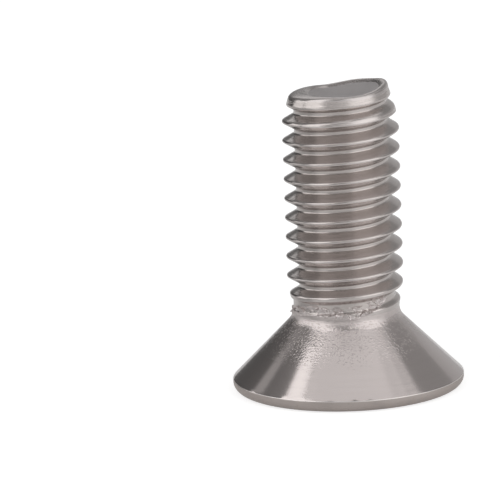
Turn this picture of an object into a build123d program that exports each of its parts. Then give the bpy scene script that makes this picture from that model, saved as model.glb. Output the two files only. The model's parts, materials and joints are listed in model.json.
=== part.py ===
from build123d import *
from math import cos, pi, radians, sin, tan
import os

# Flat countersunk screw with a hexagon socket, cold headed and thread rolled from one length of
# wire, so it is one solid. Millimetres. It stands on the flat face of its head: that face lies in
# z = 0, the axis is Z, and the threaded end points up.

# ---- Driving dimensions -------------------------------------------------------------------------

overall_length = 15.76        # flat face of the head to the highest point of the rolled end

head_diameter = 11.82
head_angle = 90.0             # included angle of the countersunk cone
rim_height = 0.58             # land below the cone, with its rounded corner
rim_corner = 0.42             # radius between the flat face and the land

neck_fillet = 0.70            # radius between the cone and the bare neck
neck_length = 0.07            # straight part of the neck, from the fillet to the first rising crest
neck_step = 0.255             # how far the neck lies inside the crests

thread_diameter = 5.89        # over the crests
thread_pitch = 1.0
thread_depth = 0.587          # from crest to root
thread_angle = 60.0           # between the two flanks
root_width = 0.23             # flat that the dies leave at the bottom of the groove

runout_length = 1.45          # over which the crests rise from the neck to their full height
first_groove = 0.45           # height above the neck at which the groove has its full depth
exit_arc = 2.75               # radius of the arc on which the groove leaves the metal below that

point_length = 2.00           # over which the crests fall away at the threaded end
point_step = 0.515            # how far they have fallen where the rolled lip starts
shoulder_height = 0.20        # of the slope from there to the top of the lip
lip_step = 0.645              # how far the outer edge of the lip's top lies inside the crests
lip_width = 0.17              # flat on top of the lip
lip_over_crest = 0.38         # top of the lip above the last crest, where the lip is highest
lip_climb = 0.55              # height that the lip gains as it follows the thread round
lip_valley = 108.0            # angle from the lip's highest point round to its lowest
dish_depth = 0.95             # of the hollow end, below the lip's highest point
dish_floor = 2.20             # diameter of the flat floor of the hollow

socket_width = 4.08           # across the flats, for a 4 mm key
socket_depth = 2.60           # straight part of the six walls
socket_floor_angle = 140.0    # included angle of the conical floor
socket_mouth = 5.10           # diameter of the countersink at the mouth
socket_mouth_angle = 120.0    # included angle of that countersink

# ---- Dependent dimensions -----------------------------------------------------------------------

head_radius = head_diameter / 2
crest_radius = thread_diameter / 2
root_radius = crest_radius - thread_depth
neck_radius = crest_radius - neck_step
shoulder_radius = crest_radius - point_step
lip_radius = crest_radius - lip_step
socket_corner = socket_width / 2 / cos(radians(30))

cone_top = rim_height + (head_radius - neck_radius) / tan(radians(head_angle / 2))
fillet_height = neck_fillet * tan(radians(head_angle / 4))
runout_bottom = cone_top + fillet_height + neck_length
runout_top = runout_bottom + runout_length
groove_bottom = runout_bottom + first_groove
last_crest = overall_length - lip_over_crest
point_bottom = overall_length - point_length

over = 0.1 * thread_depth     # how far the cutting tools stand outside the crests
spare = 2 * thread_pitch      # how far the raw shank and the tools run past the finished ends
stock_top = overall_length + 2 * spare


def outline(*points):
    """A closed half section in the XZ plane, from its corners as (radius, height)."""
    with BuildSketch(Plane.XZ) as section:
        with BuildLine():
            Polyline(*points, close=True)
        make_face()
    return section.sketch


def round_corner(section, corner, radius):
    """The section with the corner nearest to the given (radius, height) rounded."""
    nearest = section.vertices().sort_by_distance((corner[0], 0, corner[1]))[0]
    return fillet(nearest, radius)


# ---- Thread -------------------------------------------------------------------------------------


def make_threaded_rod():
    """A plain shank, too long at both ends, with the rolled groove and its fading start."""
    rod = Cylinder(crest_radius, stock_top, align=(Align.CENTER, Align.CENTER, Align.MIN))

    flare = (thread_depth + over) * tan(radians(thread_angle / 2))
    groove_section = outline(
        (root_radius, groove_bottom - root_width / 2),
        (crest_radius + over, groove_bottom - root_width / 2 - flare),
        (crest_radius + over, groove_bottom + root_width / 2 + flare),
        (root_radius, groove_bottom + root_width / 2),
    )
    helix = Helix(
        thread_pitch, stock_top - spare - groove_bottom, root_radius, center=(0, 0, groove_bottom)
    )
    groove = sweep(groove_section, path=helix, is_frenet=True)

    # Turned so that a crest passes below the lip's highest point, which is at angle 0.
    groove_turn = 360 * (groove_bottom - last_crest - thread_pitch / 2) / thread_pitch
    rod -= groove.rotate(Axis.Z, groove_turn)

    # The crests rise slowly out of the neck.
    crest_slope = (crest_radius - neck_radius) / runout_length
    rod -= revolve(
        outline(
            (neck_radius, 0),
            (neck_radius, runout_bottom),
            (crest_radius + over, runout_top + over / crest_slope),
            (head_radius, runout_top + over / crest_slope),
            (head_radius, 0),
        ),
        axis=Axis.Z,
    )

    # Where the groove starts, its section swings outwards on a wider arc until it is clear.
    exit_axis = Axis((root_radius - exit_arc, 0, 0), (0, 0, -1))
    groove_exit = revolve(groove_section, axis=exit_axis, revolution_arc=110)
    return rod - groove_exit.rotate(Axis.Z, groove_turn)


# ---- Rolled end ---------------------------------------------------------------------------------


def lip_fall(angle):
    """How far the lip has dipped at an angle round the axis: down to its valley, and back up."""
    if angle < lip_valley:
        way_down = angle / lip_valley
    else:
        way_down = (360 - angle) / (360 - lip_valley)
    return lip_climb * (1 - cos(pi * way_down)) / 2


def level_ring(radius, height):
    """A level circle, drawn like the wavy ones so that surfaces can span between them."""
    return wavy_ring(radius, height, 0, 0)


def wavy_ring(radius, height, share, spread):
    """A closed curve that takes a share of the lip's fall, and widens by the spread as it dips."""
    steps = 24
    points = []
    for step in range(steps):
        angle = 360 * step / steps
        fall = share * lip_fall(angle)
        reach = radius + spread * fall
        points.append((reach * cos(radians(angle)), reach * sin(radians(angle)), height - fall))
    return Spline(*points, periodic=True).edge()


def make_end_tool():
    """Cuts off the spare shank and leaves the tapered point, the rolled lip and the hollow end."""
    clear_radius = 1.5 * crest_radius
    taper = (point_step + over) / (point_length - shoulder_height)
    rings = [
        level_ring(clear_radius, stock_top + spare),
        level_ring(clear_radius, point_bottom),
        level_ring(crest_radius + over, point_bottom),
        wavy_ring(shoulder_radius, overall_length - shoulder_height, 1, taper),
        wavy_ring(lip_radius, overall_length, 1, 0),
        wavy_ring(lip_radius - lip_width, overall_length, 1, 0),
        wavy_ring((lip_radius + dish_floor / 2) / 2, overall_length - 0.75 * dish_depth, 0.3, 0),
        level_ring(dish_floor / 2, overall_length - dish_depth),
    ]
    faces = [Face.make_surface_from_curves(lower, upper) for lower, upper in zip(rings, rings[1:])]
    ends = [Face(Wire([rings[0]])), Face(Wire([rings[-1]]))]
    return Solid(Shell(faces + ends))


# ---- Head ---------------------------------------------------------------------------------------


def make_head():
    """The flat face, the land with its rounded corner, the cone and the neck."""
    section = outline(
        (0, 0),
        (head_radius, 0),
        (head_radius, rim_height),
        (neck_radius, cone_top),
        (neck_radius, runout_bottom),
        (0, runout_bottom),
    )
    section = round_corner(section, (head_radius, 0), rim_corner)
    section = round_corner(section, (neck_radius, cone_top), neck_fillet)
    return revolve(section, axis=Axis.Z)


def make_socket():
    """The hole for the key: six walls, a shallow conical floor and a countersunk mouth."""
    floor_rise = socket_corner / tan(radians(socket_floor_angle / 2))
    bar = extrude(RegularPolygon(socket_corner, 6), socket_depth + floor_rise)
    pointed_bar = bar & revolve(
        outline(
            (0, 0),
            (2 * socket_corner, 0),
            (2 * socket_corner, socket_depth - floor_rise),
            (0, socket_depth + floor_rise),
        ),
        axis=Axis.Z,
    )
    mouth_depth = socket_mouth / 2 / tan(radians(socket_mouth_angle / 2))
    mouth = revolve(outline((0, 0), (socket_mouth / 2, 0), (0, mouth_depth)), axis=Axis.Z)
    return pointed_bar + mouth


# ---- The screw ----------------------------------------------------------------------------------

shank = make_threaded_rod() - make_end_tool()
screw = make_head() + shank - make_socket()
screw.label = "screw"

os.makedirs("parts", exist_ok=True)
export_step(screw, "parts/screw.step")
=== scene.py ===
"""The looks of a flat countersunk screw with a hexagon socket, standing on its head.

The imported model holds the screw's real size and place. This script skins the same form as one
finely divided mesh, with rounded crests, a crumbled neck and a rolled lip, and gives each zone of
the steel its own finish. Lengths are metres; the axis is Z and the head's flat face lies in z = 0.
"""

import json
import logging
from dataclasses import dataclass, field
from enum import Enum
from math import atan2, cos, degrees, pi, radians, sin, tan
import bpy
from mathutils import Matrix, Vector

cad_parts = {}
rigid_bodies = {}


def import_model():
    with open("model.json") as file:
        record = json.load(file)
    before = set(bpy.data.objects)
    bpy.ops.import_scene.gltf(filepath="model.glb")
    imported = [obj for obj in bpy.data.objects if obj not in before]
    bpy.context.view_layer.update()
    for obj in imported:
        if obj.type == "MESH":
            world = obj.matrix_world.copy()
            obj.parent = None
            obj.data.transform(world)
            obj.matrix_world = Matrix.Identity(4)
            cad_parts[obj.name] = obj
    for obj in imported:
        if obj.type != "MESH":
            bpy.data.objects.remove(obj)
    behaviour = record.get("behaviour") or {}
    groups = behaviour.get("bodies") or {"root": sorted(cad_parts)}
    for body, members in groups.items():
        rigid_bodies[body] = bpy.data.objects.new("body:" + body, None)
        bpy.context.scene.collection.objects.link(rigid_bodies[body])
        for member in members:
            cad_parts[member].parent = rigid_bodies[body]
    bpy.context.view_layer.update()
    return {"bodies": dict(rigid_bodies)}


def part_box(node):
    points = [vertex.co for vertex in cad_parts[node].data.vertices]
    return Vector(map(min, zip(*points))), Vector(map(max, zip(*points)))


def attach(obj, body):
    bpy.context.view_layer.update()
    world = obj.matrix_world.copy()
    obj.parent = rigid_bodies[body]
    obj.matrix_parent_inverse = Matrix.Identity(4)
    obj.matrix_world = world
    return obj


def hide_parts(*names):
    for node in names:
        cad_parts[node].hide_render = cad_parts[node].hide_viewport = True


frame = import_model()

from types import SimpleNamespace
from typing import Any, Iterable, Union

import bmesh
import bpy
from bpy.types import Material, Mesh, NodeTree, Object
from mathutils import Matrix, Vector, noise

log = logging.getLogger("screw")
Pair = tuple[float, float]

MM = 0.001
NECK_RADIUS = 2.72 * MM                 # where the head meets the thread
MOUTH_RADIUS = 2.55 * MM                # where the flat face meets the socket
AIM_HEIGHT = 7.5 * MM                   # of the point that the camera and the lamps face

# ---- Node trees ---------------------------------------------------------------------------------


@dataclass(frozen=True)
class Field:
    """A value that varies over a mesh or a surface: one output of a node tree."""

    canvas: "Canvas"
    socket: bpy.types.NodeSocket

    def math(self, operation: str, *others: "Number") -> "Field":
        """Another field, made by a Math node.

        Args:
            operation: Blender's name of the operation.
            others: The further operands, as fields or plain numbers.

        Returns:
            The result as a field.
        """
        operands = dict(enumerate((self, *others)))
        return self.canvas.add("ShaderNodeMath", operands, operation=operation)

    def __add__(self, other: "Number") -> "Field":
        """The sum."""
        return self.math("ADD", other)

    __radd__ = __add__

    def __sub__(self, other: "Number") -> "Field":
        """The difference."""
        return self.math("SUBTRACT", other)

    def __rsub__(self, other: "Number") -> "Field":
        """What is left of a plain number when this is taken from it."""
        return (self * -1.0) + other

    def __mul__(self, other: "Number") -> "Field":
        """The product."""
        return self.math("MULTIPLY", other)

    __rmul__ = __mul__

    def __truediv__(self, other: "Number") -> "Field":
        """The quotient."""
        return self.math("DIVIDE", other)

    def least(self, other: "Number") -> "Field":
        """The smaller of the two."""
        return self.math("MINIMUM", other)

    def most(self, other: "Number") -> "Field":
        """The larger of the two."""
        return self.math("MAXIMUM", other)

    def soft_least(self, other: "Number", blend: "Number") -> "Field":
        """The smaller of the two, rounded where they cross."""
        return self.math("SMOOTH_MIN", other, blend)

    def soft_most(self, other: "Number", blend: "Number") -> "Field":
        """The larger of the two, rounded where they cross."""
        return self.math("SMOOTH_MAX", other, blend)

    def ramp(self, start: "Number", end: "Number", low: "Number" = 0.0, high: "Number" = 1.0) -> "Field":
        """A smooth climb from low to high as this field goes from start to end."""
        return self.canvas.add(
            "ShaderNodeMapRange",
            {"Value": self, "From Min": start, "From Max": end, "To Min": low, "To Max": high},
            interpolation_type="SMOOTHSTEP",
        )

    def contrast(self, reach: float) -> "Field":
        """Noise stretched from 0 to 1, over that reach on both sides of its middle."""
        return self.ramp(0.5 - reach, 0.5 + reach)

    def tint(self, share: float) -> "Field":
        """A factor from a mask: 1 where the mask is full, and less by that share where it is empty."""
        return self * share + (1 - share)


Number = Union[Field, float]


class Canvas:
    """Lays the nodes of one shader or geometry tree from short calls."""

    def __init__(self, tree: NodeTree) -> None:
        """Starts on a tree and clears it.

        Args:
            tree: The shader or geometry tree.
        """
        self.tree = tree
        self.tree.nodes.clear()
        self.inputs: dict[str, Any] = {}

    def add(
        self, kind: str, feeds: dict[Union[str, int], Any] | None = None, out: Union[str, int] = 0,
        **settings: Any,
    ) -> Field:
        """Adds a node.

        Args:
            kind: Blender's type name of the node.
            feeds: What goes into its inputs, by name or number: fields or plain values.
            out: The output to give back, by name or number.
            settings: The node's own settings.

        Returns:
            The chosen output as a field.
        """
        node = self.tree.nodes.new(kind)
        for name, value in settings.items():
            setattr(node, name, value)
        for key, value in (feeds or {}).items():
            socket = node.inputs[key]
            if isinstance(value, Field):
                self.tree.links.new(value.socket, socket)
            else:
                socket.default_value = value
        return Field(self, node.outputs[out] if node.outputs else None)

    def output_of(self, some: Field, out: Union[str, int]) -> Field:
        """Another output of the node that made a field."""
        return Field(self, some.socket.node.outputs[out])

    def interface(self, name: str, kind: str, value: Any = None, side: str = "INPUT") -> None:
        """Adds a named socket to the group.

        Args:
            name: The socket's name.
            kind: Blender's type name of the socket.
            value: The default, if it has one.
            side: INPUT or OUTPUT.
        """
        made = self.tree.interface.new_socket(name=name, in_out=side, socket_type=kind)
        if value is not None:
            made.default_value = value
        if side == "INPUT":
            self.inputs[name] = made

    def given(self, name: str) -> Field:
        """The group's input of that name as a field."""
        node = self.tree.nodes.get("Group Input") or self.tree.nodes.new("NodeGroupInput")
        return Field(self, node.outputs[name])

    def number(self, name: str, value: float) -> Field:
        """Adds a named number to the group's inputs and gives it as a field."""
        self.interface(name, "NodeSocketFloat", value)
        return self.given(name)

    def sizes(self, part: Any, *names: str, **worked_out: float) -> SimpleNamespace:
        """Adds a part's sizes to the group's inputs, as named numbers.

        Args:
            part: The part whose sizes they are.
            names: The sizes to take from it.
            worked_out: Further sizes, by name.

        Returns:
            The fields, under the same names.
        """
        values = {name: getattr(part, name) for name in names} | worked_out
        made = {name: self.number(name.replace("_", " ").title(), v) for name, v in values.items()}
        return SimpleNamespace(**made)

    def xyz(self, x: Number, y: Number, z: Number) -> Field:
        """A vector from its three parts."""
        return self.add("ShaderNodeCombineXYZ", {"X": x, "Y": y, "Z": z})

    def parts(self, vector: Field) -> tuple[Field, ...]:
        """The three parts of a vector."""
        first = self.add("ShaderNodeSeparateXYZ", {0: vector})
        return first, self.output_of(first, 1), self.output_of(first, 2)

    def around(self, angle: Field, reach: Number, height: Number) -> Field:
        """A place by its angle round the Z axis, its distance from it and its height."""
        return self.xyz(angle.math("COSINE") * reach, angle.math("SINE") * reach, height)

    def noise(self, place: Field, scale: Number, detail: float = 3.0, rough: float = 0.55) -> Field:
        """Smooth noise between about 0.2 and 0.8."""
        feeds = {"Vector": place, "Scale": scale, "Detail": detail, "Roughness": rough}
        return self.add("ShaderNodeTexNoise", feeds)

    def shade(self, share: Field, low: tuple[float, ...], high: tuple[float, ...]) -> Field:
        """A colour between two, by a share from 0 to 1."""
        feeds = {0: share, 6: (*low, 1), 7: (*high, 1)}     # factor, first colour, second colour
        return self.add("ShaderNodeMix", feeds, out=2, data_type="RGBA")

    def put_out(self, **results: Field) -> None:
        """Ends a shader group.

        Args:
            results: What it gives; each goes to a number output of its name.
        """
        for name in results:
            self.interface(name, "NodeSocketFloat", side="OUTPUT")
        self.add("NodeGroupOutput", results)


class Sheet(Canvas):
    """A Geometry Nodes tree that bends a flat grid round the Z axis."""

    def __init__(self, name: str) -> None:
        """Starts a tree that takes geometry and gives geometry.

        Args:
            name: The tree's name.
        """
        super().__init__(bpy.data.node_groups.new(name, "GeometryNodeTree"))
        self.interface("Geometry", "NodeSocketGeometry")
        self.interface("Geometry", "NodeSocketGeometry", side="OUTPUT")

    def grid(self, columns: int, rows: int) -> tuple[Field, ...]:
        """Adds the flat grid.

        Args:
            columns: How many faces it has across.
            rows: How many it has along.

        Returns:
            The grid, each point's share of the way across, and its row.
        """
        sizes = {"Size X": 1.0, "Size Y": float(rows), "Vertices X": columns + 1, "Vertices Y": rows + 1}
        made = self.add("GeometryNodeMeshGrid", sizes)
        across, along, _ = self.parts(self.add("GeometryNodeInputPosition"))
        return made, across + 0.5, along + rows / 2

    def finish(
        self, grid: Field, place: Field, seam: float, material: Material, smooth: bool = True
    ) -> None:
        """Ends the tree: each point goes to its place, and the seams are closed.

        Args:
            grid: The flat grid.
            place: Where its points go.
            seam: Points that lie this close become one.
            material: The finish.
            smooth: Whether the faces are shaded as one smooth surface.
        """
        bent = self.add("GeometryNodeSetPosition", {"Geometry": grid, "Position": place})
        closed = self.add("GeometryNodeMergeByDistance", {"Geometry": bent, "Distance": seam})
        shaded = self.add("GeometryNodeSetShadeSmooth", {"Geometry": closed, "Shade Smooth": smooth})
        real = self.add("GeometryNodeRealizeInstances", {"Geometry": shaded})
        dressed = self.add("GeometryNodeSetMaterial", {"Geometry": real, "Material": material})
        self.add("NodeGroupOutput", {0: dressed})

    def grow(self, name: str, start: Mesh | None = None) -> Mesh:
        """The tree's result as a plain mesh, with no modifier behind it.

        Args:
            name: The new mesh's name.
            start: The mesh that goes into the tree, if it needs one. A copy of it is used.

        Returns:
            The mesh.
        """
        spare = start.copy() if start else bpy.data.meshes.new(name)
        carrier = in_scene(name, spare)
        modifier = carrier.modifiers.new(name, "NODES")
        modifier.node_group = self.tree
        for made in self.inputs.values():
            if made.socket_type != "NodeSocketGeometry":
                modifier[made.identifier] = made.default_value
        evaluated = carrier.evaluated_get(bpy.context.evaluated_depsgraph_get())
        mesh = bpy.data.meshes.new_from_object(evaluated)
        carrier.modifiers.clear()
        bpy.data.objects.remove(carrier)
        bpy.data.meshes.remove(spare)
        mesh.name = name
        return mesh


def in_scene(name: str, data: bpy.types.ID) -> Object:
    """Adds an object to the scene, at the origin.

    Args:
        name: Its name.
        data: Its mesh, lamp or camera.

    Returns:
        The object.
    """
    made = bpy.data.objects.new(name, data)
    bpy.context.scene.collection.objects.link(made)
    return made


@dataclass(frozen=True)
class Wander:
    """A length that changes smoothly round the axis."""

    keys: tuple[Pair, ...]              # (angle in degrees, length), by rising angle
    samples: int = 72                   # points on the node's curve

    def at(self, angle: float) -> float:
        """The length at an angle.

        Args:
            angle: In degrees, from the X axis.

        Returns:
            The length on a smooth closed curve through the keys.
        """
        laps = [(a + 360 * lap, v) for lap in (-1, 0, 1) for a, v in self.keys]
        angle %= 360
        after = next(i for i, (a, _) in enumerate(laps) if a > angle)
        (a0, v0), (a1, v1), (a2, v2), (a3, v3) = laps[after - 2:after + 2]
        slope_1, slope_2 = (v2 - v0) / (a2 - a0), (v3 - v1) / (a3 - a1)
        gap = a2 - a1
        s = (angle - a1) / gap
        bow_1 = (1 + 2 * s) * (1 - s) ** 2 * v1 + s * (1 - s) ** 2 * gap * slope_1
        bow_2 = s * s * (3 - 2 * s) * v2 + s * s * (s - 1) * gap * slope_2
        return bow_1 + bow_2

    def field(self, canvas: Canvas, turn: Field) -> Field:
        """The same length as a field.

        Args:
            canvas: The tree to add it to.
            turn: The angle, as a share of a full turn.

        Returns:
            The length at that angle.
        """
        values = [self.at(360 * step / self.samples) for step in range(self.samples + 1)]
        low, high = min(values), max(values)
        curve = canvas.add("ShaderNodeFloatCurve", {"Value": turn})
        points = curve.socket.node.mapping.curves[0].points
        for step, value in enumerate(values):
            spot = (step / self.samples, (value - low) / (high - low))
            if step in (0, self.samples):
                points[0 if step == 0 else -1].location = spot
            else:
                points.new(*spot)
        curve.socket.node.mapping.update()
        return curve * (high - low) + low


# ---- Rolled thread ------------------------------------------------------------------------------


@dataclass
class RolledThread:
    """The threaded shank between the neck and the rolled end, skinned along its own helix."""

    length: float                       # overall length of the screw
    crest_radius: float = 2.975 * MM
    pitch: float = 1.0 * MM
    depth: float = 0.617 * MM
    root_width: float = 0.19 * MM
    flank_angle: float = 60.0
    neck_radius: float = NECK_RADIUS
    runout_bottom: float = 4.16 * MM
    runout_length: float = 1.45 * MM
    exit_top: float = 5.25 * MM         # where the groove starts to grow shallow
    exit_length: float = 0.95 * MM
    exit_rise: float = 0.36 * MM
    crest_round: float = 0.085 * MM
    root_round: float = 0.05 * MM
    last_crest_below_end: float = 0.38 * MM
    point_length: float = 2.20 * MM
    point_radius: float = 3.07 * MM     # of the tapering envelope where the point starts
    point_taper: float = 0.30
    lip_radius: float = 2.53 * MM       # of the last crest where it has become the lip
    last_groove: Pair = (30.0, 150.0)   # angles between which it runs out
    shoulder: Wander = Wander(          # height at which the last crest turns over into the lip
        (
            (0, 15.46 * MM), (22, 15.48 * MM), (50, 15.36 * MM), (80, 15.17 * MM), (110, 15.05 * MM),
            (145, 15.03 * MM), (180, 15.05 * MM), (215, 15.14 * MM), (245, 15.23 * MM),
            (280, 15.27 * MM), (310, 15.31 * MM), (338, 15.39 * MM),
        )
    )
    columns: int = 192
    rows_per_turn: int = 22
    turns_below: int = 2                # of rows that pile up on the level ring at the neck
    turns_above: int = 1                # of rows above the last crest at angle 0
    crowding: float = 0.55              # how much the rows gather on crests and roots
    seam: float = 0.0005 * MM

    @property
    def last_crest(self) -> float:
        """Height of the last crest at angle 0."""
        return self.length - self.last_crest_below_end

    def tree(self, material: Material) -> Sheet:
        """The Geometry Nodes tree that skins the thread.

        Args:
            material: The thread's finish.

        Returns:
            The tree with its named inputs.
        """
        sheet = Sheet("rolled thread")
        size = sheet.sizes(
            self, "pitch", "crest_radius", "depth", "root_width", "last_crest", "neck_radius",
            "runout_bottom", "runout_length", "exit_top", "exit_length", "exit_rise", "crest_round",
            "root_round", "point_radius", "point_taper", "lip_radius",
            flank_slope=1 / tan(radians(self.flank_angle / 2)),
            point_bottom=self.length - self.point_length,
            last_groove_fades_from=self.last_groove[0] / 360,
            last_groove_fades_to=self.last_groove[1] / 360,
        )
        first = int((self.runout_bottom - self.last_crest) / self.pitch) - self.turns_below
        grid, turn, row = sheet.grid(self.columns, (self.turns_above - first) * self.rows_per_turn)
        profile = row / float(self.rows_per_turn) + float(first)
        two_waves = 4 * pi              # one on the crest and one in the root of each turn
        gathered = profile - (profile * two_waves).math("SINE") * (self.crowding / two_waves)

        # The rows climb with the helix and pile up on the level ring below and the shoulder above.
        top = self.shoulder.field(sheet, turn)
        height = (size.last_crest + (gathered + turn) * size.pitch).most(size.runout_bottom).least(top)

        phase = (height - size.last_crest) / size.pitch - turn
        from_crest = (phase - phase.math("ROUND")).math("ABSOLUTE") * size.pitch

        # The last groove grows shallow above the last crest and leaves the lip whole.
        fading = turn.ramp(size.last_groove_fades_from, size.last_groove_fades_to, 1.0, 0.0)
        from_crest = from_crest * fading.most(phase.math("LESS_THAN", -1.0))
        root = size.crest_radius - size.depth
        flank = root + (size.pitch * 0.5 - from_crest - size.root_width * 0.5) * size.flank_slope

        # Near the neck the groove grows shallow as it goes down, until it is clear.
        groove_height = size.last_crest + (phase.math("FLOOR") + 0.5 + turn) * size.pitch
        floor = root + ((size.exit_top - groove_height) / size.exit_length).most(0.0) * size.exit_rise
        groove = flank.soft_most(floor, size.root_round)

        rise = ((height - size.runout_bottom) / size.runout_length).most(0.0).least(1.0)
        shank = size.neck_radius + (size.crest_radius - size.neck_radius) * rise
        point = size.point_radius - (height - size.point_bottom) * size.point_taper
        lip = size.lip_radius + ((size.last_crest - height) / size.pitch).most(0.0)
        outside = point.soft_least(shank, size.crest_round).soft_least(lip, size.crest_round)
        radius = groove.soft_least(outside, size.crest_round)
        sheet.finish(grid, sheet.around(turn * (2 * pi), radius, height), self.seam, material)
        return sheet

    def build(self, material: Material) -> Mesh:
        """The thread as a plain mesh, open at both ends."""
        return self.tree(material).grow("rolled thread")


# ---- The screw ----------------------------------------------------------------------------------


class Zone(Enum):
    """The parts of the screw's surface that have a finish of their own."""

    THREAD = 0
    CONE = 1
    RIM = 2
    FACE = 3
    SOCKET = 4
    LIP = 5
    DISH = 6
    # the rim's edge, which carries a painted highlight
    EDGE = 7


Ring = list[bmesh.types.BMVert]
Profile = list[Pair]


def arc(centre: Pair, radius: float, start: float, end: float, steps: int) -> Profile:
    """Points on an arc in a half section.

    Args:
        centre: Its centre as (radius, height).
        radius: The arc's own radius.
        start: The angle of the first point, in degrees from the outward direction.
        end: The angle of the last point.
        steps: How many steps it has.

    Returns:
        The points as (radius, height), both ends included.
    """
    angles = [radians(start + (end - start) * step / steps) for step in range(steps + 1)]
    return [(centre[0] + radius * cos(a), centre[1] + radius * sin(a)) for a in angles]


def line(start: Pair, end: Pair, steps: int) -> Profile:
    """Evenly spaced points from start to end, without the start."""
    shares = [step / steps for step in range(1, steps + 1)]
    return [(start[0] + (end[0] - start[0]) * s, start[1] + (end[1] - start[1]) * s) for s in shares]


class Skin:
    """A closed surface round the Z axis, skinned ring by ring."""

    def __init__(self, tube: Mesh, columns: int) -> None:
        """Starts from a tube that is open at both ends, and uses it up.

        Args:
            tube: The tube.
            columns: How many vertices each of its rings has.
        """
        self.bm = bmesh.new()
        self.bm.from_mesh(tube)
        bpy.data.meshes.remove(tube)
        for face in self.bm.faces:
            face.material_index = Zone.THREAD.value
        self.columns = columns
        self.turns = [2 * pi * column / columns for column in range(columns)]

    def column(self, vert: bmesh.types.BMVert) -> int:
        """The column that a vertex stands in, counted from the X axis."""
        turn = atan2(vert.co.y, vert.co.x) % (2 * pi)
        return round(turn * self.columns / (2 * pi)) % self.columns

    def open_ends(self) -> tuple[Ring, Ring]:
        """Finds the tube's open ends.

        Returns:
            The lower and the upper ring, each in order of angle from 0.
        """
        edge = {vert for e in self.bm.edges if e.is_boundary for vert in e.verts}
        middle = (min(v.co.z for v in edge) + max(v.co.z for v in edge)) / 2
        rings = []
        for above in (False, True):
            ring = sorted((v for v in edge if (v.co.z > middle) == above), key=self.column)
            assert len(ring) == self.columns, (len(ring), self.columns)
            rings.append(ring)
        return rings[0], rings[1]

    def ring(self, places: Iterable[Vector]) -> Ring:
        """New vertices at those places."""
        return [self.bm.verts.new(place) for place in places]

    def turned(self, spots: Iterable[Pair]) -> Ring:
        """A ring with a (radius, height) of its own in each column."""
        return self.ring(Vector((r * cos(t), r * sin(t), z)) for t, (r, z) in zip(self.turns, spots))

    def level(self, radius: float, height: float) -> Ring:
        """A level ring of that radius at that height."""
        return self.turned([(radius, height)] * self.columns)

    def join(self, first: Ring, second: Ring, zone: Zone, upwards: bool = False) -> Ring:
        """Faces between two rings.

        Args:
            first: The ring that is there.
            second: The ring to reach.
            zone: The finish of the faces.
            upwards: Whether the surface's outside is on its left, seen along the way.

        Returns:
            The second ring.
        """
        for column in range(len(first)):
            after = (column + 1) % len(first)
            corners = [first[column], second[column], second[after], first[after]]
            if upwards:
                corners.reverse()
            self.bm.faces.new(corners).material_index = zone.value
        return second

    def follow(self, ring: Ring, profile: Profile, zone: Zone) -> Ring:
        """Level rings one after another along a profile.

        Args:
            ring: The ring to start from.
            profile: The rings as (radius, height).
            zone: Their finish.

        Returns:
            The last ring.
        """
        for radius, height in profile:
            ring = self.join(ring, self.level(radius, height), zone)
        return ring

    def close(self, ring: Ring, height: float, zone: Zone, upwards: bool = False) -> None:
        """Closes a ring with a fan to the axis.

        Args:
            ring: The ring.
            height: Where the fan meets the axis.
            zone: The finish of the faces.
            upwards: The same as for join.
        """
        centre = self.bm.verts.new((0, 0, height))
        for column in range(len(ring)):
            corners = [ring[column], centre, ring[(column + 1) % len(ring)]]
            if upwards:
                corners.reverse()
            self.bm.faces.new(corners).material_index = zone.value

    def finish(self, name: str) -> Mesh:
        """Ends the surface.

        Args:
            name: The mesh's name.

        Returns:
            The surface as a smooth mesh with outward normals.
        """
        bmesh.ops.recalc_face_normals(self.bm, faces=self.bm.faces)
        for face in self.bm.faces:
            face.smooth = True
        mesh = bpy.data.meshes.new(name)
        self.bm.to_mesh(mesh)
        self.bm.free()
        return mesh


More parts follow.
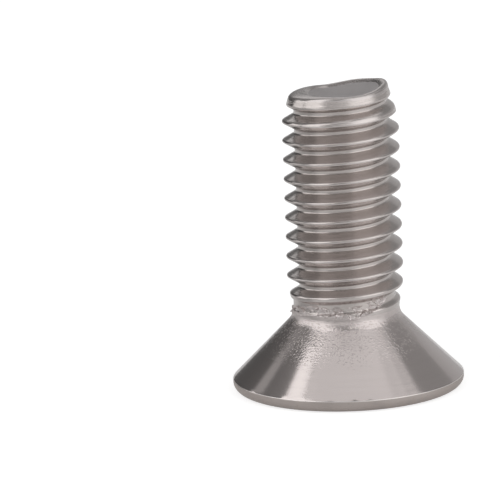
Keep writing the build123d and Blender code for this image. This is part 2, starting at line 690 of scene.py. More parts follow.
@dataclass
class Head:
    """The countersunk head, from the neck down to the mouth of the socket."""

    radius: float
    rim_height: float = 0.58 * MM
    rim_corner: float = 0.42 * MM
    rim_edge: float = 0.055 * MM        # tiny radius between the land and the cone
    nick_depth: float = 0.014 * MM      # of the handling marks on that edge
    nick_width: float = 0.11 * MM
    nick_rarity: float = 0.15           # noise that leaves no mark
    nick_steepness: float = 2.5
    neck_radius: float = NECK_RADIUS
    neck_fillet: float = 0.92 * MM
    mouth_radius: float = MOUTH_RADIUS
    bend_steps: int = 12
    cone_steps: int = 26
    edge_steps: int = 4
    land_steps: int = 3
    face_steps: int = 14

    @property
    def cone_top(self) -> float:
        """Height at which the cone would meet the neck without a fillet."""
        return self.rim_height + self.radius - self.neck_radius

    def skin(self, skin: Skin, ring: Ring) -> Ring:
        """Skins the neck's fillet, the cone, the rim and the flat face.

        Args:
            skin: The surface to add to.
            ring: The neck's ring.

        Returns:
            The ring round the mouth of the socket.
        """
        bend = tan(radians(45 / 2))     # tangent length of a 45 degree bend with a radius of 1
        centre = (self.neck_radius + self.neck_fillet, self.cone_top + self.neck_fillet * bend)
        fillet = arc(centre, self.neck_fillet, 180, 225, self.bend_steps)
        ring = skin.follow(ring, fillet, Zone.CONE)
        centre = (self.radius - self.rim_edge, self.rim_height - self.rim_edge * bend)
        edge = arc(centre, self.rim_edge, 45, 0, self.edge_steps)
        above = self.rim_edge * 0.3     # a close ring that keeps the cone's shading flat
        near_edge = (edge[0][0] - above, edge[0][1] + above)
        ring = skin.follow(ring, line(fillet[-1], near_edge, self.cone_steps), Zone.CONE)
        ring = self.nicked(skin, ring, edge[:1], Zone.CONE)
        ring = self.nicked(skin, ring, edge[1:-1], Zone.EDGE)
        centre = (self.radius - self.rim_corner, self.rim_corner)
        corner = arc(centre, self.rim_corner, 0, -90, self.bend_steps)
        land = edge[-1:] + line(edge[-1], corner[0], self.land_steps)
        ring = skin.follow(ring, land + corner[1:-1], Zone.RIM)
        face = [corner[-1]] + line(corner[-1], (self.mouth_radius, 0), self.face_steps)
        return skin.follow(ring, face, Zone.FACE)

    def nicked(self, skin: Skin, ring: Ring, profile: Profile, zone: Zone) -> Ring:
        """Rings that small nicks cut into, here and there.

        Args:
            skin: The surface to add to.
            ring: The ring to start from.
            profile: The rings as (radius, height).
            zone: Their finish.

        Returns:
            The last ring.
        """
        for radius, height in profile:
            spots = []
            for turn in skin.turns:
                place = Vector((cos(turn), sin(turn), 0)) * (radius / self.nick_width)
                hit = max(0.0, noise.noise(place) - self.nick_rarity)
                spots.append((radius - min(1.0, hit * self.nick_steepness) * self.nick_depth, height))
            ring = skin.join(ring, skin.turned(spots), zone)
        return ring


@dataclass
class Socket:
    """The hexagon socket with its countersunk mouth and conical floor."""

    mouth_radius: float = MOUTH_RADIUS
    mouth_angle: float = 120.0
    width: float = 4.08 * MM            # across the flats
    depth: float = 2.60 * MM
    floor_angle: float = 140.0
    wall_steps: int = 8
    floor_rings: tuple[float, ...] = (0.75, 0.5, 0.25, 0.08)    # shares of the walls' distance

    def reach(self, turn: float) -> float:
        """Distance from the axis to the walls at an angle, with corners on the X axis."""
        off_middle = (turn % (pi / 3)) - pi / 6
        return self.width / 2 / cos(off_middle)

    def skin(self, skin: Skin, ring: Ring) -> None:
        """Skins the mouth, the six walls and the floor.

        Args:
            skin: The surface to add to.
            ring: The ring round the mouth.
        """
        corner = self.reach(0)
        floor_rise = corner / tan(radians(self.floor_angle / 2))
        mouth_slope = tan(radians(self.mouth_angle / 2))
        reaches = [self.reach(turn) for turn in skin.turns]

        def floor(reach: float) -> float:
            """Height of the conical floor at a distance from the axis."""
            return self.depth + floor_rise * (1 - reach / corner)

        for step in range(self.wall_steps + 1):
            spots = []
            for reach in reaches:
                mouth = (self.mouth_radius - reach) / mouth_slope
                spots.append((reach, mouth + (floor(reach) - mouth) * step / self.wall_steps))
            ring = skin.join(ring, skin.turned(spots), Zone.SOCKET)
        for share in self.floor_rings:
            spots = [(reach * share, floor(reach * share)) for reach in reaches]
            ring = skin.join(ring, skin.turned(spots), Zone.SOCKET)
        skin.close(ring, self.depth + floor_rise, Zone.SOCKET)


@dataclass
class RolledEnd:
    """The lip that the dies roll over at the threaded end, and the hollow inside it."""

    length: float
    ridge: Wander = Wander(             # height of the lip's top
        (
            (0, 15.73 * MM), (18, 15.755 * MM), (40, 15.65 * MM), (60, 15.555 * MM), (72, 15.49 * MM),
            (84, 15.40 * MM), (104, 15.29 * MM), (126, 15.325 * MM), (145, 15.35 * MM),
            (180, 15.38 * MM), (225, 15.41 * MM), (250, 15.44 * MM), (292, 15.45 * MM),
            (315, 15.54 * MM), (338, 15.66 * MM),
        )
    )
    ridge_radius: Wander = Wander(      # of the lip's top
        (
            (0, 2.27 * MM), (60, 2.23 * MM), (120, 2.10 * MM), (160, 1.86 * MM), (190, 1.76 * MM),
            (222, 2.02 * MM), (245, 2.20 * MM), (280, 2.29 * MM), (315, 2.24 * MM), (340, 2.25 * MM),
        )
    )
    outer_bend: Pair = (0.10, 0.56)     # shares of the way in and up to the lip's top
    bulge: float = 0.03 * MM            # how far the lip's outer slope bows out
    crown: tuple[Pair, ...] = (
        # bends over the lip's top, as lengths outwards and upwards from the ridge
        (0.12 * MM, -0.005 * MM), (-0.05 * MM, 0.002 * MM), (-0.17 * MM, -0.06 * MM),
    )
    dish_depth: float = 0.95 * MM
    dish_bend: float = 0.45             # share of the hollow's depth, above its floor
    floor_radius: float = 1.10 * MM
    floor_centre: float = 0.3           # share of that radius, where the fan to the axis starts
    steps: int = 7                      # rings in each bend of the lip

    def skin(self, skin: Skin, ring: Ring) -> None:
        """Skins the lip and the hollow.

        Args:
            skin: The surface to add to.
            ring: The upper ring of the thread.
        """
        routes = [self.route(v.co) for v in ring]
        lip_end = (len(self.crown) + 1) * self.steps - 2
        for step in range(1, len(routes[0])):
            zone = Zone.LIP if step <= lip_end else Zone.DISH
            ring = skin.join(ring, skin.ring(route[step] for route in routes), zone, upwards=True)
        skin.close(ring, self.length - self.dish_depth, Zone.DISH, upwards=True)

    def route(self, start: Vector) -> list[Vector]:
        """The way over the lip and into the hollow from one point of the thread's last ring.

        Args:
            start: That point.

        Returns:
            Points on a smooth curve, the start included and the axis left out.
        """
        reach = start.to_2d().length
        angle = degrees(atan2(start.y, start.x)) % 360
        outwards = Vector((start.x / reach, start.y / reach))
        top = self.ridge.at(angle)
        ridge = self.ridge_radius.at(angle)
        floor = self.length - self.dish_depth
        inwards, upwards = self.outer_bend
        poles = [
            (reach, start.z),
            (reach - inwards * (reach - ridge), start.z + upwards * (top - start.z) + self.bulge),
            *((ridge + out, top + up) for out, up in self.crown),
            ((ridge + self.floor_radius) / 2, floor + self.dish_bend * (top - floor)),
            (self.floor_radius, floor),
            (self.floor_radius * self.floor_centre, floor),
        ]
        return [Vector((*(outwards * r), z)) for r, z in smooth_way(poles, self.steps)]


def smooth_way(poles: Profile, steps: int) -> Profile:
    """A smooth curve drawn from a few poles, from the first pole to the last.

    Args:
        poles: Points as (radius, height). The curve passes midway between the inner ones.
        steps: How many steps each bend has.

    Returns:
        The curve's points, both ends included.
    """
    spots = [Vector(pole) for pole in poles]
    middles = [spots[0]] + [(a + b) / 2 for a, b in zip(spots[1:], spots[2:-1])] + [spots[-1]]
    way = [spots[0]]
    for bend, (start, end) in zip(spots[1:-1], zip(middles, middles[1:])):
        for step in range(1, steps + 1):
            s = step / steps
            way.append(start * (1 - s) ** 2 + bend * 2 * s * (1 - s) + end * s**2)
    return [tuple(spot) for spot in way]


# ---- Finishes -----------------------------------------------------------------------------------

Colour = tuple[float, float, float]


class Effects:
    """The shader groups that the finishes share. They work in millimetres from the object's origin."""

    def __init__(self, pitch: float) -> None:
        """Builds each group once.

        Args:
            pitch: The thread's pitch.
        """
        self.pitch = pitch
        self.rolled = self.rolled_streaks()
        self.turned = self.turned_lines()
        self.worn = self.worn_specks()

    def begin(self, name: str) -> Canvas:
        """Starts a group with a place as its first input.

        Args:
            name: The group's name.

        Returns:
            Its canvas.
        """
        canvas = Canvas(bpy.data.node_groups.new(name, "ShaderNodeTree"))
        canvas.interface("Place", "NodeSocketVector")
        return canvas

    def rolled_streaks(self) -> NodeTree:
        """Streaks along the helix, as rolling dies leave them, and how far out the surface is.

        Returns:
            The group. Crest goes from 0 at the root to 1 at the crest.
        """
        canvas = self.begin("rolled streaks")
        place = canvas.given("Place")
        root = canvas.number("Root Radius", 2.36)
        crest = canvas.number("Crest Radius", 2.97)
        fineness = canvas.number("Fineness", 3.0)
        x, y, z = canvas.parts(place)
        reach = (x * x + y * y).math("SQRT")
        lead = (z / (self.pitch / MM)) * (2 * pi) - y.math("ARCTAN2", x)
        drift = 0.30                    # how much the streaks change from place to place
        layers = 2.0                    # how much faster they change inwards than along
        across = canvas.xyz(
            lead.math("COSINE") * fineness + x * drift,
            lead.math("SINE") * fineness + y * drift,
            reach * fineness * layers + z * drift,
        )
        canvas.put_out(
            Streaks=canvas.noise(across, scale=1.0, detail=4.0, rough=0.6).contrast(0.18),
            Blotches=canvas.noise(place, scale=1.1, detail=2.0).contrast(0.14),
            Crest=reach.ramp(root, crest),
        )
        return canvas.tree

    def turned_lines(self) -> NodeTree:
        """Fine level lines round the axis, as a die or a tool leaves them.

        Returns:
            The group. Bands are the same as Lines, but coarser.
        """
        canvas = self.begin("turned lines")
        place = canvas.given("Place")
        fineness = canvas.number("Fineness", 22.0)
        x, y, z = canvas.parts(place)
        reach = (x * x + y * y).math("SQRT")
        level = (z - reach) * fineness
        fine_drift, coarse_drift = 0.22, 0.35   # how much they change round the axis
        coarseness = 0.12               # the bands' fineness, as a share of the lines'
        fine = canvas.xyz(x * fine_drift, y * fine_drift, level)
        coarse = canvas.xyz(x * coarse_drift, y * coarse_drift, level * coarseness)
        canvas.put_out(
            Lines=canvas.noise(fine, scale=1.0, detail=3.0, rough=0.7).contrast(0.20),
            Bands=canvas.noise(coarse, scale=1.0, detail=3.0).contrast(0.16),
        )
        return canvas.tree

    def worn_specks(self) -> NodeTree:
        """Small pits and specks, and a cloudy mask for handling marks.

        Returns:
            The group. Grain is what the Pits are cut from.
        """
        canvas = self.begin("worn specks")
        place = canvas.given("Place")
        size = canvas.number("Speck Size", 0.12)
        amount = canvas.number("Amount", 0.5)
        grain = canvas.noise(place, scale=size.math("POWER", -1.0), detail=2.0, rough=0.5)
        cloud = canvas.noise(place, scale=0.55, detail=3.0)

        # The larger the amount, the further down the grain's peaks the pits reach.
        pits = grain.ramp(0.72 - amount * 0.16, 0.80 - amount * 0.10)
        canvas.put_out(Pits=pits, Grain=grain, Cloud=cloud.contrast(0.12))
        return canvas.tree


@dataclass(frozen=True)
class Steel:
    """One finish of the stainless steel."""

    name: str
    light: Colour = (0.60, 0.545, 0.53)
    dark: Colour = (0.34, 0.295, 0.265)
    roughness: float = 0.28
    roughness_spread: float = 0.10
    anisotropy: float = 0.0
    bump: float = 0.004 * MM            # height of its marks

    def material(self, effects: Effects) -> Material:
        """The finish as a material.

        Args:
            effects: The shared shader groups.

        Returns:
            The material.
        """
        made = bpy.data.materials.new(self.name)
        made.use_nodes = True
        canvas = Canvas(made.node_tree)
        object_place = canvas.add("ShaderNodeTexCoord", out="Object")
        in_mm = (1 / MM, 1 / MM, 1 / MM)
        place = canvas.add("ShaderNodeMapping", {"Vector": object_place, "Scale": in_mm})
        lightness, roughening, height = self.marks(canvas, effects, place)
        feeds = {
            "Base Color": canvas.shade(lightness, self.dark, self.light),
            "Metallic": 1.0,
            "Roughness": roughening * self.roughness_spread + self.roughness,
            "Normal": canvas.add("ShaderNodeBump", {"Height": height, "Distance": self.bump}),
        }
        if self.anisotropy:
            feeds["Anisotropic"] = self.anisotropy
            feeds["Tangent"] = canvas.add("ShaderNodeTangent", direction_type="RADIAL", axis="Z")
        shader = canvas.add("ShaderNodeBsdfPrincipled", feeds)
        canvas.add("ShaderNodeOutputMaterial", {"Surface": shader})
        return made

    def marks(self, canvas: Canvas, effects: Effects, place: Field) -> tuple[Field, ...]:
        """The finish's own marks.

        Args:
            canvas: The material's canvas.
            effects: The shared shader groups.
            place: The place in millimetres.

        Returns:
            Lightness and roughening from 0 to 1, and height.
        """
        raise NotImplementedError


def group(canvas: Canvas, tree: NodeTree, **feeds: Number) -> SimpleNamespace:
    """Adds a shared group.

    Args:
        canvas: The tree to add it to.
        tree: The group.
        feeds: What goes into its inputs; underscores stand for spaces.

    Returns:
        Its outputs as fields, under their names in small letters.
    """
    named = {name.replace("_", " "): value for name, value in feeds.items()}
    node = canvas.add("ShaderNodeGroup", named, node_tree=tree).socket.node
    return SimpleNamespace(**{out.name.lower(): Field(canvas, out) for out in node.outputs})


@dataclass(frozen=True)
class RolledSteel(Steel):
    """The thread and the lip: streaks along the helix, and painted shade that darkens the roots."""

    root_share: float = 0.12            # painted shade: lightness left in the root
    root_depth: float = 0.10            # share of the thread's depth that counts as the root, where the painted shade is full
    streak_share: float = 0.45          # contrast of the streaks
    blotch_share: float = 0.25          # contrast of the blotches
    blotch_height: float = 0.5          # next to the streaks'

    def marks(self, canvas: Canvas, effects: Effects, place: Field) -> tuple[Field, ...]:
        """Streaks, and painted shade by depth in the thread.

        Args:
            canvas: The material's canvas.
            effects: The shared shader groups.
            place: The place in millimetres.

        Returns:
            Lightness and roughening from 0 to 1, and height.
        """
        rolled = group(canvas, effects.rolled, Place=place)
        # painted shade: lightness falls from the crest to the root
        depth = rolled.crest.ramp(self.root_depth, 1.0, self.root_share, 1.0)
        streaks = rolled.streaks.tint(self.streak_share)
        lightness = depth * streaks * rolled.blotches.tint(self.blotch_share)
        return lightness, rolled.streaks, rolled.streaks + rolled.blotches * self.blotch_height


@dataclass(frozen=True)
class TurnedSteel(Steel):
    """The cone: fine level lines, with pits near the neck."""

    pitted: Pair = (1.6, 3.4)           # heights in mm between which the pits fade in
    dulled: Pair = (2.2, 4.4)           # and between which the steel grows dull
    speck_size: float = 0.10
    amount: float = 1.0                 # of pits
    cloud_cover: float = 0.6            # how unevenly the clouds spread the pits
    cloud_dulling: float = 0.08         # the clouds' share in the dulling
    band_shade: float = 0.10            # contrast of the bands
    pit_shade: float = 0.6              # how much the pits darken
    line_height: float = 0.03
    band_height: float = 0.10
    grain_height: Pair = (0.10, 3.4)    # everywhere, and what the neck adds
    pit_height: float = 2.6

    def marks(self, canvas: Canvas, effects: Effects, place: Field) -> tuple[Field, ...]:
        """Level lines, and pits that fade in towards the neck.

        Args:
            canvas: The material's canvas.
            effects: The shared shader groups.
            place: The place in millimetres.

        Returns:
            Lightness and roughening from 0 to 1, and height.
        """
        turned = group(canvas, effects.turned, Place=place)
        worn = group(canvas, effects.worn, Place=place, Speck_Size=self.speck_size, Amount=self.amount)
        _, _, z = canvas.parts(place)
        near_neck = z.ramp(*self.pitted) * worn.cloud.tint(self.cloud_cover)
        pits = worn.pits * near_neck
        lightness = turned.bands.tint(self.band_shade) * (1.0 - pits * self.pit_shade)
        everywhere, at_neck = self.grain_height
        height = turned.lines * self.line_height + turned.bands * self.band_height
        height = height + worn.grain * (near_neck * at_neck + everywhere) + pits * self.pit_height
        dulling = worn.cloud * self.cloud_dulling + z.ramp(*self.dulled) * (1 - self.cloud_dulling)
        return lightness, dulling, height


@dataclass(frozen=True)
class WornSteel(Steel):
    """The rest of the steel: a grained skin with pits and cloudy marks."""

    speck_size: float = 0.14
    amount: float = 0.7                 # of pits
    cloud_shade: float = 0.35           # contrast of the clouds
    pit_shade: float = 0.45             # how much the pits darken
    grain_height: float = 1.0
    pit_depth: float = 1.5

    def marks(self, canvas: Canvas, effects: Effects, place: Field) -> tuple[Field, ...]:
        """Grain, pits and clouds.

        Args:
            canvas: The material's canvas.
            effects: The shared shader groups.
            place: The place in millimetres.

        Returns:
            Lightness and roughening from 0 to 1, and height.
        """
        worn = group(canvas, effects.worn, Place=place, Speck_Size=self.speck_size, Amount=self.amount)
        lightness = worn.cloud.tint(self.cloud_shade) * (1.0 - worn.pits * self.pit_shade)
        return lightness, worn.cloud, worn.grain * self.grain_height - worn.pits * self.pit_depth


BURR_FINISH = WornSteel(
    "burr_steel", light=(0.66, 0.61, 0.60), dark=(0.46, 0.41, 0.395), roughness=0.30, speck_size=0.06
)
FINISHES: dict[Zone, Steel] = {
    Zone.THREAD: RolledSteel(
        "rolled_steel", light=(0.60, 0.555, 0.54), dark=(0.54, 0.495, 0.475),
        roughness=0.10, roughness_spread=0.09, root_share=0.20,
    ),
    Zone.CONE: TurnedSteel(
        "turned_steel", dark=(0.50, 0.445, 0.43), roughness=0.11, roughness_spread=0.20, anisotropy=0.5
    ),
    # partly painted shade: the rim's steel is darker than the cone's; its grain, pits and clouds are
    # wear
    Zone.RIM: WornSteel(
        "rim_painted_shade_steel", light=(0.51, 0.455, 0.43), dark=(0.40, 0.35, 0.33), roughness=0.38
    ),
    Zone.FACE: WornSteel(
        "face_steel", dark=(0.48, 0.43, 0.415), roughness=0.36, amount=0.4, grain_height=0.5
    ),
    Zone.SOCKET: WornSteel(
        "socket_steel", light=(0.50, 0.45, 0.43), dark=(0.30, 0.26, 0.24), roughness=0.33
    ),
    Zone.LIP: RolledSteel(
        "lip_steel", light=(0.61, 0.57, 0.56), dark=(0.53, 0.485, 0.47),
        roughness=0.20, root_share=0.7, bump=0.0015 * MM,
    ),
    # painted shade: the hollow's steel is a darker grey than the rest
    Zone.DISH: WornSteel(
        "dish_painted_shade_steel", light=(0.52, 0.50, 0.50), dark=(0.46, 0.44, 0.44), roughness=0.85
    ),
    # painted highlight: the rim's edge is much lighter than any other steel
    Zone.EDGE: WornSteel(
        "edge_painted_highlight_steel", light=(0.81, 0.77, 0.75), dark=(0.52, 0.47, 0.45), roughness=0.30
    ),
}


@dataclass
class NeckBurr:
    """The crumbled metal that the rolling dies push up round the neck, as one thin closed sliver."""

    span: Pair = (150.0, 331.0)         # angles between which it lies
    low: Wander = Wander(               # height of its lower edge
        (
            (0, 5.05 * MM), (90, 4.30 * MM), (150, 4.00 * MM), (190, 3.95 * MM), (206, 4.02 * MM),
            (226, 4.10 * MM), (249, 4.09 * MM), (270, 4.02 * MM), (279, 4.01 * MM), (288, 4.14 * MM),
            (298, 4.33 * MM), (310, 4.51 * MM), (319, 4.73 * MM), (331, 4.98 * MM),
        )
    )
    high: Wander = Wander(              # height of its upper edge
        (
            (0, 5.15 * MM), (90, 4.45 * MM), (150, 4.14 * MM), (190, 4.42 * MM), (206, 4.60 * MM),
            (226, 4.74 * MM), (249, 4.75 * MM), (277, 4.78 * MM), (288, 4.82 * MM), (296, 4.91 * MM),
            (310, 4.99 * MM), (319, 5.06 * MM), (331, 5.10 * MM),
        )
    )
    columns: int = 420
    rows: int = 26
    back_rows: int = 4
    reach: float = 2.66 * MM            # about where it lies, to measure along it
    sunk: float = 0.12 * MM             # how deep its back is in the neck
    flap: float = 0.05 * MM             # how far its lower edge stands out
    ragged: float = 0.11 * MM           # how much its lower edge wanders
    proud: float = 0.02 * MM            # how far the rest stands out, on the whole
    chip_width: float = 0.42 * MM
    chip_height: float = 0.27 * MM
    chip_relief: float = 0.15 * MM
    crumb: float = 0.12 * MM
    crumb_relief: float = 0.05 * MM
    tilt: float = 1.2                   # how steeply the facets lean
    jump: float = 0.7                   # how much they stand out one past another
    pinch: float = 0.05                 # share of its length over which each end thins out
    flap_share: Pair = (0.08, 0.45)     # shares of the way up where the flap fades
    cover_share: Pair = (0.06, 0.80)    # and between which the burr stands out fully
    chip_warp: float = 0.10             # how much the chips' borders wander, in mm
    crumb_warp: float = 0.05            # and the crumbs'
    far: float = 1.6                    # where the rays start, as a share of the reach
    seam: float = 0.00001 * MM

    def tree(self, material: Material) -> Sheet:
        """The Geometry Nodes tree that lays the burr on the screw.

        Args:
            material: The burr's finish.

        Returns:
            The tree with its named inputs; the geometry that goes in is the screw.
        """
        sheet = Sheet("neck burr")
        size = sheet.sizes(
            self, "sunk", "flap", "proud", "ragged", "chip_relief", "crumb_relief", "pinch",
            start=self.span[0] / 360, end=self.span[1] / 360,
        )
        grid, share, step = sheet.grid(self.columns, self.rows + self.back_rows)
        back = ((step - float(self.rows)) / float(self.back_rows)).most(0.0)
        climb = (step / float(self.rows)).least(1.0) - back
        turn = size.start + (size.end - size.start) * share
        ends = share.ramp(0.0, size.pinch) * share.ramp(1.0 - size.pinch, 1.0, 1.0, 0.0)

        # Both edges wander, and at its ends the sliver closes to a point.
        length = turn * (2 * pi * self.reach / MM)
        wobble = sheet.noise(sheet.xyz(length, 0.0, 0.0), scale=4.0, detail=3.0, rough=0.7) - 0.5
        low = self.low.field(sheet, turn) + wobble * size.ragged * 2.0
        high = self.high.field(sheet, turn)
        height = (low + high) * 0.5 + (high - low) * (climb - 0.5) * ends

        # Chips are flat facets that tilt and stand out by chance, with smaller crumbs on them.
        level = height / MM
        warp = sheet.noise(sheet.xyz(length, level, 0.0), scale=5.0, detail=2.0) - 0.5
        chip, crumb = (self.chip_width / MM, self.chip_height / MM), (self.crumb / MM, self.crumb / MM)
        chips = self.facets(sheet, length + warp * self.chip_warp, level, *chip)
        crumbs = self.facets(sheet, length, level + warp * self.crumb_warp, *crumb)
        flap = climb.ramp(*self.flap_share, 1.0, 0.0) * size.flap
        relief = chips * size.chip_relief + crumbs * size.crumb_relief + flap + size.proud
        risen, sinking = self.cover_share
        cover = climb.ramp(0.0, risen) * climb.ramp(sinking, 1.0, 1.0, 0.0) * ends
        outside = back.math("LESS_THAN", 0.0001)    # not on the rows that run back inside

        # Rays that come in from outside find the screw's surface underneath.
        angle = turn * (2 * pi)
        far = self.reach * self.far
        aim = {
            "Target Geometry": sheet.given("Geometry"),
            "Source Position": sheet.around(angle, far, height),
            "Ray Direction": sheet.around(angle, -1.0, 0.0),
            "Ray Length": far,
        }
        hit = sheet.add("GeometryNodeRaycast", aim, out="Hit Distance")
        radius = far - hit - size.sunk + (relief + size.sunk) * cover * outside
        sheet.finish(grid, sheet.around(angle, radius, height), self.seam, material, smooth=False)
        return sheet

    def facets(self, canvas: Canvas, along: Field, up: Field, width: float, height: float) -> Field:
        """Heights of flat facets in cells that lie by chance.

        Args:
            canvas: The tree to add them to.
            along: Place along the neck, in millimetres.
            up: Height, in millimetres.
            width: Width of a cell, in millimetres.
            height: Height of a cell, in millimetres.

        Returns:
            Heights between about -0.5 and 0.5.
        """
        spot = canvas.xyz(along * (1 / width), up * (1 / height), 0.0)
        feeds = {"Vector": spot, "Scale": 1.0, "Randomness": 1.0}
        chance = canvas.add("ShaderNodeTexVoronoi", feeds, out="Color", voronoi_dimensions="2D")
        lean_along, lean_up, offset = canvas.parts(chance)
        x, y, _ = canvas.parts(spot)
        centre_x, centre_y, _ = canvas.parts(canvas.output_of(chance, "Position"))
        tilt = (x - centre_x) * (lean_along - 0.5) + (y - centre_y) * (lean_up - 0.5)
        return tilt * self.tilt + (offset - 0.5) * self.jump

    def build(self, screw: Mesh, body: str, effects: Effects) -> Object:
        """Builds the burr on a finished screw.

        Args:
            screw: The screw's mesh.
            body: The body that it rides on.
            effects: The shared shader groups.

        Returns:
            The finished piece.
        """
        finish = BURR_FINISH.material(effects)
        mesh = self.tree(finish).grow("neck_burr", screw)
        mesh.materials.clear()
        mesh.materials.append(finish)
        fix_outside(mesh)
        piece = in_scene("neck_burr", mesh)
        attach(piece, body)
        return piece


def fix_outside(mesh: Mesh) -> None:
    """Turns a closed mesh's faces outwards.

    Args:
        mesh: The mesh.
    """
    bm = bmesh.new()
    bm.from_mesh(mesh)
    bmesh.ops.recalc_face_normals(bm, faces=bm.faces)
    bm.to_mesh(mesh)
    bm.free()


@dataclass
class Screw:
    """The whole screw, as one piece of steel with its burr."""

    length: float
    head_radius: float
    body: str

    @property
    def thread(self) -> RolledThread:
        """The screw's thread."""
        return RolledThread(self.length)

    def mesh(self, thread_material: Material) -> Mesh:
        """Skins the whole screw.

        Args:
            thread_material: The thread's finish.

        Returns:
            The screw's surface as one closed mesh.
        """
        thread = self.thread
        skin = Skin(thread.build(thread_material), thread.columns)
        neck, end = skin.open_ends()
        mouth = Head(self.head_radius).skin(skin, neck)
        Socket().skin(skin, mouth)
        RolledEnd(self.length).skin(skin, end)
        return skin.finish("screw")

    def build(self) -> list[Object]:
        """Builds the screw, dresses it and puts it in place of the plain solid.

        Returns:
            The finished pieces.
        """
        effects = Effects(self.thread.pitch)
        materials = [FINISHES[zone].material(effects) for zone in Zone]
        mesh = self.mesh(materials[Zone.THREAD.value])
        for material in materials:
            mesh.materials.append(material)
        piece = in_scene("countersunk_screw", mesh)
        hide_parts("screw")
        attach(piece, self.body)
        return [piece, NeckBurr().build(mesh, self.body, effects)]


# ---- Studio -------------------------------------------------------------------------------------


@dataclass(frozen=True)
class SoftBox:
    """A soft lamp that faces the screw, or straight down."""

    name: str
    place: tuple[float, float, float]   # its middle, with the screw at the origin
    width: float
    height: float
    radiance: float                     # 1 shows as white in a mirror
    down: bool = False                  # whether it faces straight down

    def hang(self, target: Vector) -> None:
        """Adds the lamp.

        Args:
            target: What it faces, if it doesn't face straight down.
        """
        lamp = bpy.data.lights.new(self.name, "AREA")
        lamp.shape = "RECTANGLE"
        lamp.size = self.width
        lamp.size_y = self.height
        lamp.energy = self.radiance * pi * self.width * self.height
        made = in_scene(self.name, lamp)
        made.visible_camera = False
        made.location = self.place
        if not self.down:
            away = made.location - target
            made.rotation_euler = away.to_track_quat("Z", "Y").to_euler()


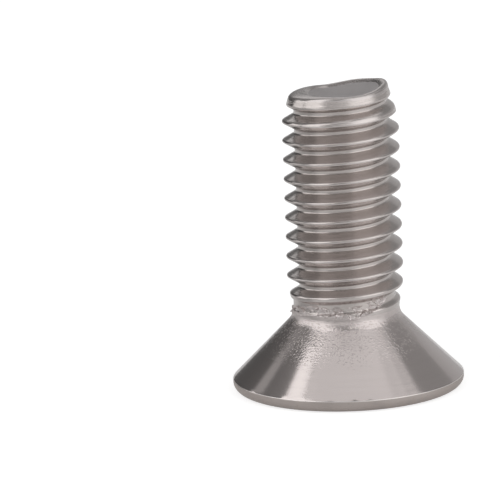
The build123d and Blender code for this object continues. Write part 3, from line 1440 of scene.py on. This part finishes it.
@dataclass
class Studio:
    """The camera, the floor, the world and the lamps."""

    aim: Vector
    frame_pixels: float = 500.0
    pixels_per_metre: float = 19630.0
    aim_right: float = 94.15            # where the aim shows, in pixels from the frame's middle
    aim_up: float = 8.2
    elevation: float = 12.59
    roll: float = 2.12
    distance: float = 0.270
    sensor: float = 36.0
    floor_radius: float = 3.0
    floor_sides: int = 96
    floor_gap: float = 0.02 * MM        # between the floor and the screw's face
    floor_roughness: float = 0.9
    floor_colour: float = 0.50
    floor_glow: float = 0.72            # the floor's own light, as the camera sees it
    floor_glow_in_steel: float = 0.26   # the same as the steel sees it, before the painted pools of light and shade
    # painted pools of light and shade on the floor, which only the steel sees
    patches: tuple[tuple[float, float, float], ...] = (
        # angle from the front where the light starts to change, where it has changed, and by how much
        (-130.0, -110.0, -0.17), (-74.0, -58.0, 0.28), (-34.0, -20.0, -0.07), (12.0, 36.0, 0.24),
        (62.0, 95.0, -0.20),
    )
    patches_from: Pair = (7.0 * MM, 10.0 * MM)  # distances over which they fade in
    ceiling: float = 0.28
    horizon: float = 0.29
    low_slant: float = 0.27             # how much brighter the world is on the right, low down
    high_slant: float = 0.08
    front: float = 0.06                 # how much brighter it is in front, low down
    ceiling_band: Pair = (0.05, 0.38)   # sines of the heights where it changes
    slant_band: Pair = (0.05, 0.55)
    front_band: Pair = (0.10, 0.55)
    dim_corner: tuple[float, float, float, float] = (0.80, 1.32, 1.0, 0.62)     # behind on the left
    boxes: tuple[SoftBox, ...] = field(
        default_factory=lambda: (
            SoftBox("top_box", (0.00, -0.10, 0.90), 0.88, 0.46, 0.58, down=True),
            SoftBox("top_right_box", (0.52, -0.07, 0.90), 0.16, 0.52, 0.44, down=True),
            SoftBox("top_far_right_box", (0.67, -0.05, 0.90), 0.14, 0.56, 0.24, down=True),
            SoftBox("right_tube", (0.40, 0.46, 0.90), 0.34, 0.52, 0.56, down=True),
            SoftBox("left_wall", (-0.745, -0.345, 0.574), 0.80, 1.10, 1.14),
            SoftBox("left_box", (-0.93, 0.26, 0.27), 0.60, 0.50, 1.10),
            SoftBox("left_strip", (-0.66, 0.475, 0.58), 0.13, 0.35, 0.26),
            SoftBox("front_box", (-0.24, -0.88, 0.41), 1.10, 0.34, 0.52),
            SoftBox("right_wall", (0.661, -0.517, 0.545), 1.06, 0.95, 0.62),
            SoftBox("right_wall_edge", (0.668, -0.523, 0.551), 1.34, 1.15, 0.33),
            SoftBox("right_back_box", (0.38, 0.86, 0.20), 0.72, 0.44, 0.12),
            SoftBox("back_box", (-0.15, 0.82, 0.55), 0.46, 0.56, 0.50),
        )
    )

    def camera(self) -> None:
        """Sets up the camera."""
        tilt, turn = radians(self.elevation), radians(self.roll)
        back = Vector((0, -cos(tilt), sin(tilt)))
        right, up = Vector((1, 0, 0)), Vector((0, sin(tilt), cos(tilt)))
        own_right = right * cos(turn) - up * sin(turn)
        own_up = right * sin(turn) + up * cos(turn)
        aside = (own_right * self.aim_right + own_up * self.aim_up) / self.pixels_per_metre
        lens = bpy.data.cameras.new("camera")
        lens.sensor_width = self.sensor
        lens.lens = self.sensor * self.distance * self.pixels_per_metre / self.frame_pixels
        made = in_scene("camera", lens)
        place = Matrix((own_right, own_up, back)).transposed().to_4x4()
        place.translation = self.aim - aside + back * self.distance
        made.matrix_world = place
        bpy.context.scene.camera = made

    def glow(self, canvas: Canvas) -> Field:
        """The floor's own light.

        Args:
            canvas: The floor's canvas.

        Returns:
            Its strength: full to the camera and through glass, less in steel with painted pools of light
                and shade, else none.
        """
        path = canvas.add("ShaderNodeLightPath", out="Is Camera Ray")
        seen = path.most(canvas.output_of(path, "Is Transmission Ray")) * self.floor_glow
        right, back, _ = canvas.parts(canvas.add("ShaderNodeTexCoord", out="Object"))
        around = right.math("ARCTAN2", back * -1.0)
        # painted pools of light and shade round the screw, seen only in the steel
        away = (right * right + back * back).math("SQRT").ramp(*self.patches_from)
        painted_pool_light = sum(around.ramp(radians(a), radians(b), 0.0, extra) for a, b, extra in self.patches)
        in_steel = away * painted_pool_light + self.floor_glow_in_steel
        return seen.most(canvas.output_of(path, "Is Glossy Ray") * in_steel)

    def floor(self) -> None:
        """Lays the floor."""
        bm = bmesh.new()
        bmesh.ops.create_circle(bm, cap_ends=True, segments=self.floor_sides, radius=self.floor_radius)
        mesh = bpy.data.meshes.new("floor")
        bm.to_mesh(mesh)
        bm.free()
        made = in_scene("floor", mesh)
        made.location.z = -self.floor_gap
        paint = bpy.data.materials.new("floor")
        paint.use_nodes = True
        canvas = Canvas(paint.node_tree)
        shader = canvas.add(
            "ShaderNodeBsdfPrincipled",
            {
                "Base Color": (self.floor_colour, self.floor_colour, self.floor_colour, 1),
                "Roughness": self.floor_roughness,
                "Specular IOR Level": 0.0,
                "Emission Color": (1, 1, 1, 1),
                "Emission Strength": self.glow(canvas),
            },
        )
        canvas.add("ShaderNodeOutputMaterial", {"Surface": shader})
        mesh.materials.append(paint)

    def world(self) -> None:
        """Sets up the light from all round: white to the camera, with a dim ceiling for the steel."""
        world = bpy.data.worlds.new("studio")
        bpy.context.scene.world = world
        world.use_nodes = True
        canvas = Canvas(world.node_tree)
        right, back, up = canvas.parts(canvas.add("ShaderNodeTexCoord", out="Generated"))
        level = up.ramp(*self.ceiling_band, self.horizon, self.ceiling)
        level = level + right * up.ramp(*self.slant_band, self.low_slant, self.high_slant)
        level = level - back.least(0.0) * up.ramp(*self.front_band, self.front, 0.0)
        level = level * (back - right).ramp(*self.dim_corner)
        seen = canvas.add("ShaderNodeLightPath", out="Is Camera Ray")
        white = (1, 1, 1, 1)
        shade = canvas.add("ShaderNodeBackground", {"Color": white, "Strength": level.most(seen)})
        canvas.add("ShaderNodeOutputWorld", {"Surface": shade})

    def build(self) -> None:
        """Builds the whole studio."""
        self.camera()
        self.floor()
        self.world()
        for box in self.boxes:
            box.hang(self.aim)
        bpy.context.scene.view_settings.view_transform = "Standard"


def main() -> None:
    """Builds the screw and its studio."""
    logging.basicConfig(level=logging.INFO, format="%(name)s: %(message)s")
    low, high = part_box("screw")
    body = next(iter(frame["bodies"]))
    for piece in Screw(length=high.z, head_radius=(high.x - low.x) / 2, body=body).build():
        log.info("%s: %d faces", piece.name, len(piece.data.polygons))
    Studio(aim=Vector((0, 0, AIM_HEIGHT))).build()


if __name__ == "__main__":
    main()
